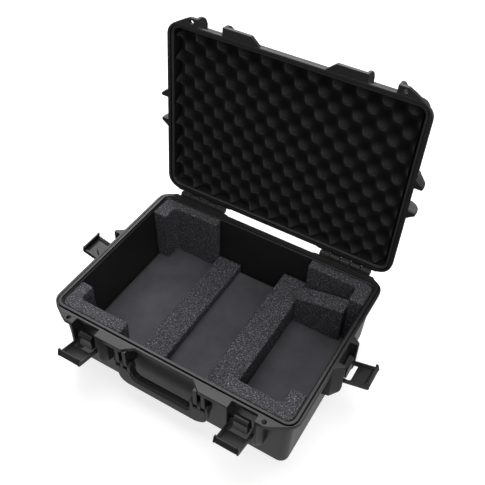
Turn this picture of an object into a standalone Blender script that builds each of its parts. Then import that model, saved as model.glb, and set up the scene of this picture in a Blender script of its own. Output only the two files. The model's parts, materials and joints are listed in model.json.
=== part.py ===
"""Moulded hard equipment case, lid standing open, all four latches let down.

Frame: X to the right along the front, Y to the rear, Z up, origin at the middle of the base's underside.
Lengths are in metres. Each lid piece is drawn closed, then turned back about the hinge axis.
"""

import math

import bmesh
import bpy
from mathutils import Matrix, Vector

MM = 0.001

# Rim of the base, and of the lid that matches it
HALF_W = 250.0
HALF_D = 184.5
FRONT_EDGE = 183.3
PLATE_FRONT = 198.5
RIM_Z = 150.0
FLANGE_T = 8.0
PLATE_IN = 61.0
PLATE_MID = 79.0
LATCH_X = 160.0
NOTCH_HALF = 24.5
SIDE_TAB = 14.8
SIDE_TAB_ROOT = 41.0
LOCK_HOLE = (198.5, 189.5, 3.8)
CORNER_SEGMENTS = 6

# Base tub
WALL_BOTTOM = (232.7, 166.8)
WALL_TOP = (239.0, 172.5)
WALL_T = 3.5
TUB_CORNER = 16.0
TUB_EDGE = 12.0
FLOOR_T = 4.0
TONGUE_IN = (236.0, 169.3)
TONGUE_OUT = (242.5, 176.0)
TONGUE_Z = 151.5
GROOVE_OUT = (244.5, 178.0)
GROOVE_Z = 148.5

# Lid
LID_GAP = 0.4
LID_TOP = 200.0
LID_EDGE = 18.0
LID_WALL = (239.2, 173.0)
LID_CORNER = 19.0
LID_T = 4.0
LID_OPEN_DEG = 94.0

# Hinges
HINGE_Y = 192.2
HINGE_Z = 150.0
KNUCKLE_R = 6.0
KNUCKLE_X = (108.5, 129.8, 151.1, 172.4, 193.7, 215.0)
HINGE_PLATE_IN = 97.0
HINGE_PLATE_OUT = 224.0
HINGE_PLATE_Y = 185.7
PIN_R = 2.0
BORE_R = 2.08

# Latches: u runs outwards from the pin, v up
LATCH_PIN_OUT = 4.2
LATCH_PIN_Z = 103.0
LATCH_CHEEK_T = 5.5
LATCH_CHEEK_OUT = 15.0
LEVER_TILT_DEG = 15.0
LEVER_HALF = 23.5
LEVER_ARM_T = 5.0
LEVER_LENGTH = 57.5
HOOK_T = 4.7
HOOK_REACH = 9.0
TRIGGER_HALF = 14.0
CATCH_TOP = 155.2
CATCH_DEPTH = 5.7

# Handle
HANDLE_PIVOT = (-190.5, 107.0)
HANDLE_HALF_T = 8.5
HANDLE_RIBS = ((68.7, 76.7), (84.2, 92.2))
HANDLE_LUGS = ((62.0, 68.2), (77.2, 83.7), (92.7, 97.5))

# Foam
FLOOR_TOP = 27.5
FOAM_TOP = 146.5
BLOCK_IN = 104.0
STRIP_LEFT = (-103.6, -51.0, 47.0)
STRIP_RIGHT = (50.0, 103.6, 81.0)
WEDGE_X = (104.1, 203.5)
WEDGE_Y = (105.0, 141.0)
WEDGE_Z = (95.0, 115.5)
EGG_PITCH = 22.6
EGG_HALF = (231.6, 166.2)
EGG_BACK = 195.6
EGG_VALLEY = 176.0
EGG_PEAK = 152.6


def clear_scene():
    for obj in list(bpy.data.objects):
        bpy.data.objects.remove(obj, do_unlink=True)
    for mesh in list(bpy.data.meshes):
        bpy.data.meshes.remove(mesh)


def make_collection(name, hidden=False):
    made = bpy.data.collections.new(name)
    bpy.context.scene.collection.children.link(made)
    made.hide_render = hidden
    return made


def make_material(name, colour, roughness, metallic=0.0):
    made = bpy.data.materials.new(name)
    made.use_nodes = True
    shader = made.node_tree.nodes["Principled BSDF"]
    shader.inputs["Base Color"].default_value = (*colour, 1.0)
    shader.inputs["Roughness"].default_value = roughness
    shader.inputs["Metallic"].default_value = metallic
    made.diffuse_color = (*colour, 1.0)
    return made


def place(name, shape, material=None, matrix=None, cutter=False):
    """Turns a finished bmesh in millimetres into an object in metres."""
    bmesh.ops.recalc_face_normals(shape, faces=shape.faces)
    bmesh.ops.scale(shape, vec=(MM, MM, MM), verts=shape.verts)
    mesh = bpy.data.meshes.new(name)
    shape.to_mesh(mesh)
    shape.free()
    obj = bpy.data.objects.new(name, mesh)
    (CUTTERS if cutter else PARTS).objects.link(obj)
    if material:
        mesh.materials.append(material)
    if matrix is not None:
        obj.matrix_world = matrix
    if cutter:
        obj.display_type = "WIRE"
        obj.hide_render = True
    return obj


def boolean(obj, operation, other):
    step = obj.modifiers.new(operation.title(), "BOOLEAN")
    step.operation = operation
    step.solver = "EXACT"
    step.object = other
    return step


def shade(obj, degrees=35.0):
    obj.data.shade_smooth()
    obj.data.set_sharp_from_angle(angle=math.radians(degrees))


def rounded_rect(half_x, half_y, radius, segments=CORNER_SEGMENTS):
    """Corners of a rounded rectangle, anticlockwise seen from +Z."""
    points = []
    for index, (sx, sy) in enumerate(((1, 1), (-1, 1), (-1, -1), (1, -1))):
        cx = sx * (half_x - radius)
        cy = sy * (half_y - radius)
        for step in range(segments + 1):
            angle = math.pi / 2 * (index + step / segments)
            points.append((cx + radius * math.cos(angle), cy + radius * math.sin(angle)))
    return points


def add_loft(shape, rings):
    """Skins rings of equal count, [(points, z), ...], and closes both ends."""
    rows = [[shape.verts.new((x, y, z)) for x, y in points] for points, z in rings]
    for low, high in zip(rows, rows[1:]):
        for index in range(len(low)):
            after = (index + 1) % len(low)
            shape.faces.new((low[index], low[after], high[after], high[index]))
    shape.faces.new(list(reversed(rows[0])))
    shape.faces.new(rows[-1])


def add_prism(shape, outline, axis, low, high):
    """Extrudes a flat outline along axis. Its two coordinates are the other axes in X, Y, Z order."""
    def point(a, b, along):
        values = [a, b]
        values.insert(axis, along)
        return values

    first = [shape.verts.new(point(a, b, low)) for a, b in outline]
    last = [shape.verts.new(point(a, b, high)) for a, b in outline]
    for index in range(len(outline)):
        after = (index + 1) % len(outline)
        shape.faces.new((first[index], first[after], last[after], last[index]))
    shape.faces.new(list(reversed(first)))
    shape.faces.new(last)


def add_box(shape, low, high):
    add_prism(shape, [(low[0], low[1]), (high[0], low[1]), (high[0], high[1]), (low[0], high[1])],
              2, low[2], high[2])


def add_rod(shape, axis, centre, radius, low, high, segments=16):
    ring = []
    for step in range(segments):
        angle = math.tau * (step + 0.5) / segments
        ring.append((centre[0] + radius * math.cos(angle), centre[1] + radius * math.sin(angle)))
    add_prism(shape, ring, axis, low, high)


def arc(centre, radius, start_deg, end_deg, steps):
    points = []
    for step in range(steps + 1):
        angle = math.radians(start_deg + (end_deg - start_deg) * step / steps)
        points.append((centre[0] + radius * math.cos(angle), centre[1] + radius * math.sin(angle)))
    return points


def turned_lid():
    """The open lid's place: its pieces are drawn closed, about the hinge axis."""
    to_axis = Matrix.Translation((0, -HINGE_Y * MM, -HINGE_Z * MM))
    back = Matrix.Translation((0, HINGE_Y * MM, HINGE_Z * MM))
    return back @ Matrix.Rotation(math.radians(-LID_OPEN_DEG), 4, "X") @ to_axis


def rehome(obj, axis_point):
    """Moves an object's origin to a point of its joint axis, given in metres in its drawn frame."""
    shift = Matrix.Translation(-Vector(axis_point))
    obj.data.transform(shift)
    obj.matrix_world = obj.matrix_world @ shift.inverted()


def flange_outline():
    """Rim plate seen from above: lock corners, latch notches, shelf plates, hinge plates."""
    right = [
        (PLATE_IN, -FRONT_EDGE),
        (PLATE_MID, -PLATE_FRONT),
        (LATCH_X - NOTCH_HALF, -PLATE_FRONT),
        (LATCH_X - NOTCH_HALF, -FRONT_EDGE),
        (LATCH_X + NOTCH_HALF, -FRONT_EDGE),
        (LATCH_X + NOTCH_HALF, -PLATE_FRONT + 1.0),
        (202.0, -PLATE_FRONT + 1.0),
        (214.0, -191.5),
        (236.0, -178.5),
        (245.0, -170.0),
        (249.0, -162.5),
        (HALF_W, -155.0),
        (HALF_W, -SIDE_TAB_ROOT),
        (HALF_W + 7.0, -35.5),
        (HALF_W + SIDE_TAB, -30.5),
        (HALF_W + SIDE_TAB, -NOTCH_HALF),
        (HALF_W, -NOTCH_HALF),
        (HALF_W, NOTCH_HALF),
        (HALF_W + SIDE_TAB, NOTCH_HALF),
        (HALF_W + SIDE_TAB, 30.5),
        (HALF_W + 7.0, 35.5),
        (HALF_W, SIDE_TAB_ROOT),
        (HALF_W, 155.0),
        (248.5, 163.5),
        (244.0, 171.0),
        (236.0, 177.0),
        (228.0, 181.0),
        (HINGE_PLATE_OUT, HINGE_PLATE_Y),
        (HINGE_PLATE_IN + 4.0, HINGE_PLATE_Y),
        (HINGE_PLATE_IN, FRONT_EDGE),
    ]
    left = [(-x, y) for x, y in reversed(right)]
    return right + left


def add_wedge(shape, profile, place_point, root):
    """A latch cheek: full profile over its thickness, then running out to nothing at its root."""
    near = NOTCH_HALF + 0.2
    far = near + LATCH_CHEEK_T
    sections = ((near, profile), (far, profile), (root, [(min(out, -1.0), z) for out, z in profile]))
    rows = [[shape.verts.new(place_point(out, across, z)) for out, z in points] for across, points in sections]
    for low, high in zip(rows, rows[1:]):
        for index in range(len(low)):
            after = (index + 1) % len(low)
            shape.faces.new((low[index], low[after], high[after]))
            shape.faces.new((low[index], high[after], high[index]))
    shape.faces.new(list(reversed(rows[0])))
    shape.faces.new(rows[-1])


def add_latch_cheeks(shape, profile):
    """Both cheeks of the four latch recesses; profile gives (distance out from the edge, z)."""
    for sign in (-1, 1):
        for x in (-LATCH_X, LATCH_X):
            add_wedge(shape, profile(False), lambda out, v, z: (x + sign * v, -FRONT_EDGE - out, z), 35.0)
        for way in (-1, 1):
            add_wedge(shape, profile(True), lambda out, v, z: (way * (HALF_W + out), sign * v, z), SIDE_TAB_ROOT - 0.6)


def wall_at(z):
    """Half width and half depth of the tub's outer face at height z."""
    share = z / (RIM_Z - FLANGE_T)
    return [low + (high - low) * share for low, high in zip(WALL_BOTTOM, WALL_TOP)]


def base_cheek(side):
    edge, which = (HALF_W, 0) if side else (FRONT_EDGE, 1)
    top = wall_at(146.0)[which] - edge - 1.7
    foot = wall_at(60.0)[which] - edge - 1.7
    out = LATCH_CHEEK_OUT
    return [(top, 146.0), (out, 146.0), (out, 88.0), (out - 3.5, 74.0), (out - 10.0, 65.0), (foot, 60.0)]


def knuckle(above):
    """Side view of a knuckle and its root. The base's root lies below the parting plane."""
    sign = 1 if above else -1
    z = HINGE_Z
    points = [(184.0, z + sign * 6.0), (HINGE_Y, z + sign * 6.0)]
    points += arc((HINGE_Y, z), KNUCKLE_R, sign * 75, -sign * 175, 13)
    points += [(185.9, z + sign * 0.45), (184.0, z + sign * 0.5)]
    return points


def add_knuckles(shape, above):
    for index in (1, 3) if above else (0, 2, 4):
        low = KNUCKLE_X[index] + 0.2
        high = KNUCKLE_X[index + 1] - 0.2
        add_prism(shape, knuckle(above), 0, low, high)
        add_prism(shape, knuckle(above), 0, -high, -low)


def add_hinge_bores(shape):
    for sign in (-1, 1):
        ends = sorted((sign * (KNUCKLE_X[0] - 1.0), sign * (KNUCKLE_X[-1] + 1.0)))
        add_rod(shape, 0, (HINGE_Y, HINGE_Z), BORE_R, *ends)


def add_lock_holes(shape, low, high):
    x, y, radius = LOCK_HOLE
    add_rod(shape, 2, (x, -y), radius, low, high)
    add_rod(shape, 2, (-x, -y), radius, low, high)


def base_rings():
    """The tub from the middle of its underside, out, up, over the tongue and down inside."""
    low = WALL_BOTTOM
    rings = [
        (low[0] - TUB_EDGE, low[1] - TUB_EDGE, TUB_CORNER - 10.0, 0.0),
        (low[0] - 0.5 * TUB_EDGE, low[1] - 0.5 * TUB_EDGE, TUB_CORNER - 6.0, 0.134 * TUB_EDGE),
        (low[0] - 0.134 * TUB_EDGE, low[1] - 0.134 * TUB_EDGE, TUB_CORNER - 2.0, 0.5 * TUB_EDGE),
        (*wall_at(TUB_EDGE), TUB_CORNER, TUB_EDGE),
        (*wall_at(144.0), TUB_CORNER, 144.0),
        (246.5, 180.0, 21.0, 144.0),
        (246.5, 180.0, 21.0, GROOVE_Z),
        (*TONGUE_OUT, 18.0, GROOVE_Z),
        (*TONGUE_OUT, 18.0, TONGUE_Z),
        (*TONGUE_IN, 12.5, TONGUE_Z),
        (235.4, 168.9, 12.5, 146.0),
        (WALL_BOTTOM[0] - WALL_T + 1.0, WALL_BOTTOM[1] - WALL_T + 1.0, 12.5, 9.0),
        (WALL_BOTTOM[0] - WALL_T - 3.0, WALL_BOTTOM[1] - WALL_T - 3.0, 9.0, FLOOR_T),
    ]
    return [(rounded_rect(x, y, radius), z) for x, y, radius, z in rings]


def add_handle_ribs(shape):
    y, z = HANDLE_PIVOT
    outline = [(-170.8, 146.0), (-198.2, 146.0), (-198.2, z)]
    outline += arc((y, z), 7.4, 195, 270, 5)
    outline += [(-169.3, z - 5.5)]
    for low, high in HANDLE_RIBS:
        add_prism(shape, outline, 0, low, high)
        add_prism(shape, outline, 0, -high, -low)


def build_base():
    shape = bmesh.new()
    add_prism(shape, flange_outline(), 2, RIM_Z - FLANGE_T, RIM_Z)
    base = place("base_shell", shape, PLASTIC)
    hole = bmesh.new()
    add_prism(hole, rounded_rect(*GROOVE_OUT, 20.0), 2, 130.0, 160.0)
    boolean(base, "DIFFERENCE", place("cut_rim_opening", hole, cutter=True))
    tub = bmesh.new()
    add_loft(tub, base_rings())
    boolean(base, "UNION", place("add_tub", tub, cutter=True))
    extras = bmesh.new()
    add_latch_cheeks(extras, base_cheek)
    add_handle_ribs(extras)
    add_knuckles(extras, above=False)
    boolean(base, "UNION", place("add_ribs_and_knuckles", extras, cutter=True))
    bores = bmesh.new()
    add_hinge_bores(bores)
    add_lock_holes(bores, 130.0, 160.0)
    reach = NOTCH_HALF + LATCH_CHEEK_T + 1.2
    for x in (-LATCH_X, LATCH_X):
        add_rod(bores, 0, (-FRONT_EDGE - LATCH_PIN_OUT, LATCH_PIN_Z), BORE_R, x - reach, x + reach)
    for sign in (-1, 1):
        add_rod(bores, 1, (sign * (HALF_W + LATCH_PIN_OUT), LATCH_PIN_Z), BORE_R, -reach, reach)
        ends = sorted((sign * 67.0, sign * 94.0))
        add_rod(bores, 0, HANDLE_PIVOT, BORE_R, *ends)
    boolean(base, "DIFFERENCE", place("cut_bores", bores, cutter=True))
    shade(base)


def lid_rings():
    """The lid, drawn closed, from the middle of its top out, down, across its seal channel and up inside."""
    top = (LID_WALL[0] - 3.0, LID_WALL[1] - 3.0)
    rings = []
    for degrees in (90, 67, 45, 22, 0):
        inset = LID_EDGE * (1 - math.cos(math.radians(degrees)))
        drop = LID_EDGE * (1 - math.sin(math.radians(degrees)))
        rings.append((top[0] - inset, top[1] - inset, LID_CORNER - inset, LID_TOP - drop))
    rings += [
        (*LID_WALL, LID_CORNER, 157.0),
        (247.5, 181.5, 24.0, 157.0),
        (247.5, 181.5, 24.0, 152.6),
        (243.2, 177.0, 19.5, 152.6),
        (243.2, 177.0, 19.5, 154.6),
        (235.2, 169.2, 14.0, 154.6),
        (232.6, 167.2, 15.0, 188.0),
        (225.0, 159.5, 9.0, LID_TOP - LID_T),
    ]
    return [(rounded_rect(x, y, radius), z) for x, y, radius, z in rings]


def add_catch_cuts(shape):
    """Thins the lid's flange in each latch notch, so that the lever's hook drops over it."""
    reach = NOTCH_HALF + 0.1
    for x in (-LATCH_X, LATCH_X):
        add_box(shape, (x - reach, -FRONT_EDGE - 2.0, CATCH_TOP), (x + reach, -FRONT_EDGE + CATCH_DEPTH, 166.0))
    for low, high in ((HALF_W - CATCH_DEPTH, HALF_W + 2.0), (-HALF_W - 2.0, -HALF_W + CATCH_DEPTH)):
        add_box(shape, (low, -reach, CATCH_TOP), (high, reach, 166.0))


def lid_cheek(side):
    edge, which = (HALF_W, 0) if side else (FRONT_EDGE, 1)
    root = LID_WALL[which] - edge - 1.6
    return [
        (root - 2.3, 182.5),
        (root, 155.4),
        (-4.5, 155.4),
        (-4.5, 153.0),
        (LATCH_CHEEK_OUT - 0.3, 153.0),
        (LATCH_CHEEK_OUT - 0.5, 158.0),
        (9.0, 171.0),
        (3.5, 178.5),
        (-4.0, 182.5),
    ]


def build_lid(lid_place):
    low = RIM_Z + LID_GAP
    shape = bmesh.new()
    add_prism(shape, flange_outline(), 2, low, low + FLANGE_T)
    lid = place("lid_shell", shape, PLASTIC, lid_place)
    hole = bmesh.new()
    add_prism(hole, rounded_rect(244.0, 178.0, 20.0), 2, 130.0, 180.0)
    boolean(lid, "DIFFERENCE", place("cut_lid_opening", hole, None, lid_place, cutter=True))
    dome = bmesh.new()
    add_loft(dome, lid_rings())
    boolean(lid, "UNION", place("add_lid_dome", dome, None, lid_place, cutter=True))
    extras = bmesh.new()
    add_latch_cheeks(extras, lid_cheek)
    add_knuckles(extras, above=True)
    boolean(lid, "UNION", place("add_lid_extras", extras, None, lid_place, cutter=True))
    bores = bmesh.new()
    add_hinge_bores(bores)
    add_lock_holes(bores, 140.0, 170.0)
    add_catch_cuts(bores)
    boolean(lid, "DIFFERENCE", place("cut_lid_bores", bores, None, lid_place, cutter=True))
    rehome(lid, (0, HINGE_Y * MM, HINGE_Z * MM))
    shade(lid)


def build_gasket(lid_place):
    """Seal lying in the lid's channel, over the base's tongue."""
    outer = rounded_rect(242.0, 175.6, 18.0)
    inner = rounded_rect(237.0, 170.6, 13.5)
    shape = bmesh.new()
    rows = [[shape.verts.new((x, y, z)) for x, y in points]
            for points, z in ((outer, 151.9), (outer, 154.3), (inner, 154.3), (inner, 151.9))]
    for row, after in zip(rows, rows[1:] + rows[:1]):
        for index in range(len(row)):
            far = (index + 1) % len(row)
            shape.faces.new((row[index], row[far], after[far], after[index]))
    gasket = place("lid_gasket", shape, RUBBER, lid_place)
    rehome(gasket, (0, HINGE_Y * MM, HINGE_Z * MM))
    shade(gasket)


def build_egg_foam(lid_place):
    """Convoluted lid foam: peaks and valleys in turn on a square grid, with a flat back."""
    half_x, half_y = EGG_HALF
    columns = round(2 * half_x / EGG_PITCH)
    rows = round(2 * half_y / EGG_PITCH)
    shape = bmesh.new()
    face = []
    for row in range(rows + 1):
        line = []
        for column in range(columns + 1):
            x = -half_x + 2 * half_x * column / columns
            y = -half_y + 2 * half_y * row / rows
            corner = row in (0, rows) and column in (0, columns)
            z = EGG_PEAK if (row + column) % 2 and not corner else EGG_VALLEY
            if corner:
                x -= math.copysign(6.0, x)
                y -= math.copysign(6.0, y)
            line.append(shape.verts.new((x, y, z)))
        face.append(line)
    for row in range(rows):
        for column in range(columns):
            quad = (face[row][column], face[row][column + 1], face[row + 1][column + 1], face[row + 1][column])
            if (row + column) % 2:
                shape.faces.new((quad[0], quad[1], quad[2]))
                shape.faces.new((quad[0], quad[2], quad[3]))
            else:
                shape.faces.new((quad[0], quad[1], quad[3]))
                shape.faces.new((quad[1], quad[2], quad[3]))
    rim = [face[0][c] for c in range(columns)] + [face[r][columns] for r in range(rows)]
    rim += [face[rows][c] for c in range(columns, 0, -1)] + [face[r][0] for r in range(rows, 0, -1)]
    ends = [shape.verts.new((vert.co.x * 0.97, vert.co.y * 0.958, EGG_BACK)) for vert in rim]
    for index in range(len(rim)):
        after = (index + 1) % len(rim)
        shape.faces.new((rim[index], rim[after], ends[after]))
        shape.faces.new((rim[index], ends[after], ends[index]))
    shape.faces.new(ends)
    foam = place("lid_foam", shape, DARK_FOAM, lid_place)
    rehome(foam, (0, HINGE_Y * MM, HINGE_Z * MM))
    shade(foam, 20.0)


def build_hinge_pins():
    for name, sign in (("left", -1), ("right", 1)):
        shape = bmesh.new()
        half = (KNUCKLE_X[-1] - KNUCKLE_X[0]) / 2
        middle = sign * (KNUCKLE_X[-1] + KNUCKLE_X[0]) / 2
        add_rod(shape, 0, (0, 0), PIN_R, -half, half)
        place_at = Matrix.Translation((middle * MM, HINGE_Y * MM, HINGE_Z * MM))
        shade(place(f"hinge_pin_{name}", shape, STEEL, place_at))


def latch_places():
    """Name and frame of each latch: local X runs outwards, Y up, Z across, origin on its pin."""
    front = -(FRONT_EDGE + LATCH_PIN_OUT)
    side = HALF_W + LATCH_PIN_OUT
    spots = (
        ("front_left", (-LATCH_X, front), (0, -1, 0)),
        ("front_right", (LATCH_X, front), (0, -1, 0)),
        ("left", (-side, 0.0), (-1, 0, 0)),
        ("right", (side, 0.0), (1, 0, 0)),
    )
    for name, (x, y), outward in spots:
        out = Vector(outward)
        up = Vector((0, 0, 1))
        across = out.cross(up)
        frame = Matrix((out, up, across)).transposed().to_4x4()
        yield name, Matrix.Translation((x * MM, y * MM, LATCH_PIN_Z * MM)) @ frame


def lever_arm():
    """Side view of a lever arm with its ear round the pin."""
    end = LEVER_LENGTH
    points = [(0.5, -8.0), (end - 5.0, -8.0), (end - 1.5, -6.8), (end, -4.0), (end, HOOK_REACH - 1.5)]
    points += [(end - 1.2, HOOK_REACH), (end - HOOK_T, HOOK_REACH), (end - HOOK_T, 0.8), (8.0, 0.8)]
    points += arc((0, 0), 5.6, 30, 230, 9)
    return points


def lever_web():
    """Side view of the lever's middle: recessed panel and hook, without the window."""
    end = LEVER_LENGTH - 0.3
    return [(20.0, -7.6), (end - 4.7, -7.6), (end - 1.5, -6.4), (end, -3.8), (end, HOOK_REACH - 2.0),
            (end - 1.2, HOOK_REACH - 0.4), (end - HOOK_T + 0.3, HOOK_REACH - 0.4),
            (end - HOOK_T + 0.3, 1.5), (end - HOOK_T - 2.2, -1.8), (end - HOOK_T - 6.0, -3.5), (20.0, -3.5)]


def build_levers():
    inner = LEVER_HALF - LEVER_ARM_T
    tilt = Matrix.Rotation(math.radians(LEVER_TILT_DEG), 4, "Z")
    for name, upright in latch_places():
        spot = upright @ tilt
        shape = bmesh.new()
        add_prism(shape, lever_arm(), 2, inner, LEVER_HALF)
        lever = place(f"latch_lever_{name}", shape, PLASTIC, spot)
        extras = bmesh.new()
        add_prism(extras, lever_arm(), 2, -LEVER_HALF, -inner)
        boolean(lever, "UNION", place(f"add_arm_{name}", extras, None, spot, cutter=True))
        web = bmesh.new()
        add_prism(web, lever_web(), 2, -inner - 1.0, inner + 1.0)
        boolean(lever, "UNION", place(f"add_web_{name}", web, None, spot, cutter=True))
        hole = bmesh.new()
        add_rod(hole, 2, (0, 0), BORE_R, -LEVER_HALF - 2, LEVER_HALF + 2)
        boolean(lever, "DIFFERENCE", place(f"cut_lever_bore_{name}", hole, None, spot, cutter=True))
        shade(lever)


def trigger_outline():
    points = arc((4.5, 20.5), 7.0, 170, 0, 10)
    points += [(11.5, -3.0), (4.0, -5.2)]
    points += arc((0, 0), 5.5, 270, 180, 5)
    return points


def build_triggers():
    for name, spot in latch_places():
        shape = bmesh.new()
        add_prism(shape, trigger_outline(), 2, -TRIGGER_HALF, TRIGGER_HALF)
        trigger = place(f"latch_trigger_{name}", shape, PLASTIC, spot)
        hole = bmesh.new()
        add_rod(hole, 2, (0, 0), BORE_R, -TRIGGER_HALF - 2, TRIGGER_HALF + 2)
        boolean(trigger, "DIFFERENCE", place(f"cut_trigger_bore_{name}", hole, None, spot, cutter=True))
        shade(trigger)


def build_latch_pins():
    reach = NOTCH_HALF + LATCH_CHEEK_T
    for name, spot in latch_places():
        shape = bmesh.new()
        add_rod(shape, 2, (0, 0), PIN_R, -reach, reach)
        shade(place(f"latch_pin_{name}", shape, STEEL, spot))


def build_handle():
    """Grip bar, two arms and three lugs each side, hanging from the brackets."""
    y, z = HANDLE_PIVOT
    right = [(74.0, 50.0), (86.0, 56.0), (92.5, 64.0), (97.5, 98.0), (62.0, 98.0), (58.5, 82.0), (53.0, 77.0)]
    left = [(-a, b) for a, b in reversed(right)]
    shape = bmesh.new()
    add_prism(shape, right + left, 1, y - HANDLE_HALF_T, y + HANDLE_HALF_T)
    handle = place("handle", shape, PLASTIC)
    lugs = bmesh.new()
    outline = [(y + 8.2, 96.0), (y + 8.2, z)] + arc((y, z), 8.2, 15, 165, 7) + [(y - 8.2, z), (y - 8.2, 96.0)]
    for low, high in HANDLE_LUGS:
        for ends in ((low, high - 0.1), (-high + 0.1, -low)):
            add_prism(lugs, outline, 0, *ends)
    boolean(handle, "UNION", place("add_handle_lugs", lugs, cutter=True))
    hole = bmesh.new()
    add_rod(hole, 0, (y, z), BORE_R, 60.0, 99.0)
    add_rod(hole, 0, (y, z), BORE_R, -99.0, -60.0)
    boolean(handle, "DIFFERENCE", place("cut_handle_bore", hole, cutter=True))
    rehome(handle, (0, y * MM, z * MM))
    shade(handle)
    for name, sign in (("left", -1), ("right", 1)):
        pin = bmesh.new()
        half = (HANDLE_LUGS[-1][1] - HANDLE_LUGS[0][0]) / 2
        add_rod(pin, 0, (0, 0), PIN_R, -half, half)
        middle = sign * (HANDLE_LUGS[-1][1] + HANDLE_LUGS[0][0]) / 2
        shade(place(f"handle_pin_{name}", pin, STEEL, Matrix.Translation((middle * MM, y * MM, z * MM))))


def inside_at(z):
    """Half width and half depth of the tub's inner face at height z."""
    share = (z - 9.0) / (146.0 - 9.0)
    low = (WALL_BOTTOM[0] - WALL_T + 1.0, WALL_BOTTOM[1] - WALL_T + 1.0)
    return [a + (b - a) * share for a, b in zip(low, (235.4, 168.9))]


def build_floor_foam():
    low = inside_at(9.0)
    high = inside_at(FLOOR_TOP)
    shape = bmesh.new()
    add_loft(shape, [
        (rounded_rect(low[0] - 4.6, low[1] - 4.6, 9.0), FLOOR_T + 0.3),
        (rounded_rect(low[0] - 0.6, low[1] - 0.6, 12.0), 9.4),
        (rounded_rect(high[0] - 0.5, high[1] - 0.5, 12.0), FLOOR_TOP),
    ])
    shade(place("floor_foam", shape, FLOOR_SHEET))


def block_outline(z, inner_x, inner_y, end_y, gap=0.5):
    """An L seen from above for the +X, +Y corner, its outer faces following the wall at height z."""
    wall_x, wall_y = inside_at(z)
    wall_x -= gap
    wall_y -= gap
    points = [(BLOCK_IN, inner_y), (inner_x, inner_y), (inner_x, end_y), (wall_x, end_y)]
    points += arc((wall_x - 13.0, wall_y - 13.0), 13.0, 0, 90, 4)
    points += [(BLOCK_IN, wall_y)]
    return points


def build_corner_blocks():
    """Four upright L blocks of plank foam, one in each corner."""
    spots = (
        ("rear_left", -1, 1, 204.0, 149.0, 116.0),
        ("rear_right", 1, 1, 205.5, 149.0, 115.0),
        ("front_left", -1, -1, 210.0, 142.0, 108.0),
        ("front_right", 1, -1, 205.0, 141.0, 109.0),
    )
    for name, sx, sy, inner_x, inner_y, end_y in spots:
        rings = []
        for z in (FLOOR_TOP + 0.3, FOAM_TOP):
            rings.append(([(sx * x, sy * y) for x, y in block_outline(z, inner_x, inner_y, end_y)], z))
        shape = bmesh.new()
        add_loft(shape, rings)
        shade(place(f"corner_foam_{name}", shape, PLANK_FOAM))


def build_strips():
    """Two planks from front to rear, a low one on the left and a tall one on the right."""
    reach = inside_at(FLOOR_TOP)[1] - 0.5
    for name, (low, high, top) in (("left", STRIP_LEFT), ("right", STRIP_RIGHT)):
        shape = bmesh.new()
        add_box(shape, (low, -reach, FLOOR_TOP + 0.3), (high, reach, top))
        shade(place(f"foam_strip_{name}", shape, PLANK_FOAM))


def build_wedge():
    """Cross block in the rear right corner, its top rising to the right."""
    left, right = WEDGE_X
    shape = bmesh.new()
    outline = [(left, FLOOR_TOP + 0.3), (right, FLOOR_TOP + 0.3), (right, WEDGE_Z[1]), (left, WEDGE_Z[0])]
    add_prism(shape, outline, 1, *WEDGE_Y)
    shade(place("foam_wedge_rear", shape, PLANK_FOAM))


clear_scene()
PARTS = make_collection("equipment_case")
CUTTERS = make_collection("cutters", hidden=True)
PLASTIC = make_material("shell_plastic", (0.030, 0.030, 0.032), 0.48)
RUBBER = make_material("seal_rubber", (0.012, 0.012, 0.012), 0.75)
STEEL = make_material("pin_steel", (0.35, 0.35, 0.36), 0.35, 1.0)
DARK_FOAM = make_material("egg_foam", (0.018, 0.018, 0.020), 0.95)
PLANK_FOAM = make_material("plank_foam", (0.075, 0.075, 0.078), 0.9)
FLOOR_SHEET = make_material("floor_sheet", (0.050, 0.050, 0.054), 0.85)
LID_PLACE = turned_lid()

build_base()
build_lid(LID_PLACE)
build_gasket(LID_PLACE)
build_egg_foam(LID_PLACE)
build_hinge_pins()
build_levers()
build_triggers()
build_latch_pins()
build_handle()
build_floor_foam()
build_corner_blocks()
build_strips()
build_wedge()
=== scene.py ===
"""Looks of the moulded equipment case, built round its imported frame.

Lengths below are in millimetres unless a name says otherwise. The frame is the case's own: X to the
right along the front, Y to the rear, Z up, origin in the middle of the base's underside. Each lid
piece is drawn closed and then turned back about the hinge axis.
"""

import json  # noqa: E402
import math  # noqa: E402

import bmesh  # noqa: E402
import bpy  # noqa: E402
from mathutils import Matrix, Vector, noise  # noqa: E402

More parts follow.
